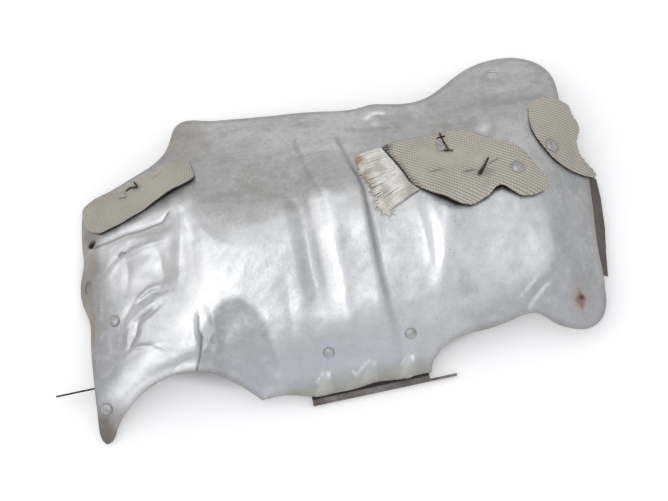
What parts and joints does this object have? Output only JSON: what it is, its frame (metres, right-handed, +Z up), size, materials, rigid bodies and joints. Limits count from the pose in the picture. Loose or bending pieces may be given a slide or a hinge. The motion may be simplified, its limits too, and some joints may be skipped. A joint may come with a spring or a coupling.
{
  "type": "turbocharger heat shield",
  "caption": "Used turbocharger heat shield, a pressed sheet dome with cloth patches, rivets and steel brackets.",
  "frame": {"origin": "bottom centre of the whole part, at the height of the rim's lowest point", "axes": "+X along the long side towards the end with the bolt ear, +Y to the long edge with the bolt ear, +Z up, out of the domed side"},
  "size_m": [0.3806, 0.2162, 0.0641],
  "materials": {
    "shell_metal": "satin, stained by heat",
    "steel": "dark, heat stained",
    "cloth": "woven heat-proof cloth, matt",
    "yarn": "frayed yarns, matt",
    "wire": "dark wire",
    "tab_metal": "satin",
    "rivet_metal": "satin, dulled"
  },
  "bodies": {
    "root": {"outer_shell": "shell_metal", "front_bracket": "steel", "end_bracket": "steel", "right_edge_strip": "steel", "left_cloth_patch": "cloth", "middle_cloth_patch": "cloth", "right_cloth_patch": "cloth", "middle_patch_fringe": "yarn", "middle_patch_staple": "wire", "middle_patch_second_staple": "wire", "left_patch_staple": "wire", "middle_patch_tab": "tab_metal", "left_patch_tab": "tab_metal", "rivet_end_upper": "rivet_metal", "rivet_end_lower": "rivet_metal", "rivet_front_left": "rivet_metal", "rivet_front_right": "rivet_metal", "rivet_middle_patch": "rivet_metal", "rivet_right_patch": "rivet_metal"}
  },
  "joints": []
}
